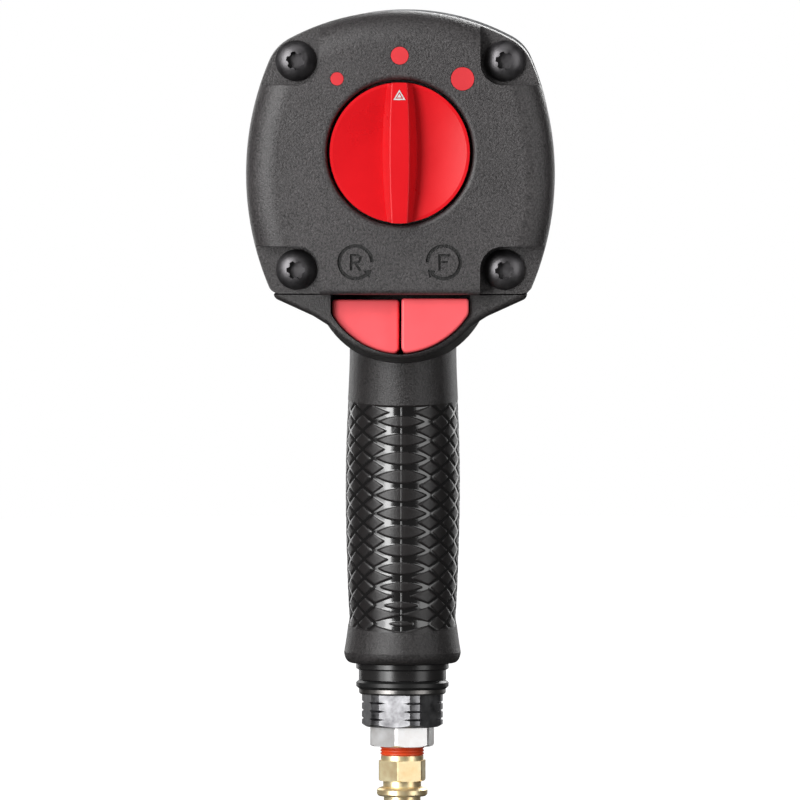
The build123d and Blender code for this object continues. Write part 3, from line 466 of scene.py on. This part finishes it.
# ---------------------------------------------------------------- studio
def panel(name, azimuth, elevation, size, power, distance=1.2):
    """A soft light panel facing the tool; azimuth is to the right of the camera's side, in degrees."""
    turn, rise = math.radians(azimuth), math.radians(elevation)
    away = Vector((math.sin(turn) * math.cos(rise), -math.cos(turn) * math.cos(rise), math.sin(rise)))
    data = bpy.data.lights.new(name, "AREA")
    data.shape = "RECTANGLE"
    data.size, data.size_y = size
    data.energy = power
    light = bpy.data.objects.new(name, data)
    light.location = MIDDLE + away * distance
    light.rotation_mode = "QUATERNION"
    light.rotation_quaternion = away.to_track_quat("Z", "Y")
    bpy.context.scene.collection.objects.link(light)
    return light


def world():
    """A white surround for the camera that lights the tool only faintly, as in a dark studio."""
    surround = bpy.data.worlds.new("studio")
    surround.use_nodes = True
    tree = surround.node_tree
    ray = tree.nodes.new("ShaderNodeLightPath")
    strength = tree.nodes.new("ShaderNodeMapRange")
    faint = tree.nodes.new("ShaderNodeMapRange")
    faint.inputs["To Min"].default_value = AMBIENT
    faint.inputs["To Max"].default_value = MIRRORED_AMBIENT
    tree.links.new(ray.outputs["Is Glossy Ray"], faint.inputs["Value"])
    tree.links.new(faint.outputs["Result"], strength.inputs["To Min"])
    strength.inputs["To Max"].default_value = 1.0
    tree.links.new(ray.outputs["Is Camera Ray"], strength.inputs["Value"])
    background = tree.nodes["Background"]
    background.inputs["Color"].default_value = (1, 1, 1, 1)
    tree.links.new(strength.outputs["Result"], background.inputs["Strength"])
    bpy.context.scene.world = surround


def floor(level):
    """A round pale floor, bright enough to run into the surround."""
    material, tree, shader = new_material("studio_floor")
    cloud = noise(tree, 3, 2)
    shade = ramp(tree, cloud.outputs["Fac"], (0.86, 0.86, 0.86), (0.9, 0.9, 0.9))
    tree.links.new(shade.outputs["Color"], shader.inputs["Base Color"])
    shader.inputs["Roughness"].default_value = 0.9
    shader.inputs["Emission Color"].default_value = (1, 1, 1, 1)
    shader.inputs["Emission Strength"].default_value = FLOOR_GLOW
    side = tree.nodes.new("ShaderNodeNewGeometry")
    opacity = tree.nodes.new("ShaderNodeMapRange")
    opacity.inputs["To Min"].default_value = 1
    opacity.inputs["To Max"].default_value = 0
    tree.links.new(side.outputs["Backfacing"], opacity.inputs["Value"])
    tree.links.new(opacity.outputs["Result"], shader.inputs["Alpha"])
    shape = bmesh.new()
    bmesh.ops.create_circle(shape, cap_ends=True, segments=96, radius=FLOOR_RADIUS)
    mesh = bpy.data.meshes.new("floor")
    shape.to_mesh(mesh)
    shape.free()
    mesh.materials.append(material)
    ground = bpy.data.objects.new("floor", mesh)
    ground.location = (0, 0, level)
    ground.visible_diffuse = False
    ground.visible_glossy = False
    bpy.context.scene.collection.objects.link(ground)


def studio(low):
    world()
    floor(low.z - FLOOR_DROP)
    panel("key_left", -35, 14, (0.38, 1.3), 15)
    panel("key_wing", -53, 14, (0.36, 1.3), 6)
    panel("fill_right", 54, 8, (0.56, 1.2), 5)
    panel("top", 0, 65, (0.9, 0.5), 2)
    for azimuth in (-152, 152):
        panel("rim", azimuth, 14, (0.5, 1.2), 3)
    panel("front", 165, 25, (0.7, 0.7), 8)


def camera():
    data = bpy.data.cameras.new("camera")
    data.lens = LENS
    data.sensor_width = 36
    data.clip_start, data.clip_end = 0.05, 50
    cam = bpy.data.objects.new("camera", data)
    elevation, azimuth = math.radians(CAMERA_ELEVATION), math.radians(CAMERA_AZIMUTH)
    look = Vector((
        -math.sin(azimuth) * math.cos(elevation),
        math.cos(azimuth) * math.cos(elevation),
        -math.sin(elevation),
    ))
    cam.location = CAMERA_PLACE
    cam.rotation_mode = "QUATERNION"
    cam.rotation_quaternion = look.to_track_quat("-Z", "Y")
    bpy.context.scene.collection.objects.link(cam)
    bpy.context.scene.camera = cam


# ---------------------------------------------------------------- scene
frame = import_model()
cad_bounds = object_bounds()
materials = make_materials()

# painted shade in the floors of the cover's engraved direction marks
cover = materials["cover_composite"].node_tree
shade_engraved_marks(cover, cover.nodes["Principled BSDF"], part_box("rear_cover")[0][1])
slots = {part["node"]: part["material_slot"] for part in frame["record"]["subparts"]}
for node, obj in frame["nodes"].items():
    obj.data.materials.clear()
    obj.data.materials.append(materials[slots[node]])

sleeve = grip_mesh()
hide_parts("grip_sleeve")
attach(sleeve, "housing")

# the throttle spring, copied with a mesh of its own and carried by the housing; the real one shortens
# as the trigger tips the valve onto it
coil = bpy.data.objects.new("throttle_coil", frame["nodes"]["throttle_spring"].data.copy())
bpy.context.scene.collection.objects.link(coil)
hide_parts("throttle_spring")
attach(coil, "housing")
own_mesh(coil)

studio(cad_bounds[0])
camera()
bpy.context.scene.view_settings.view_transform = "Standard"
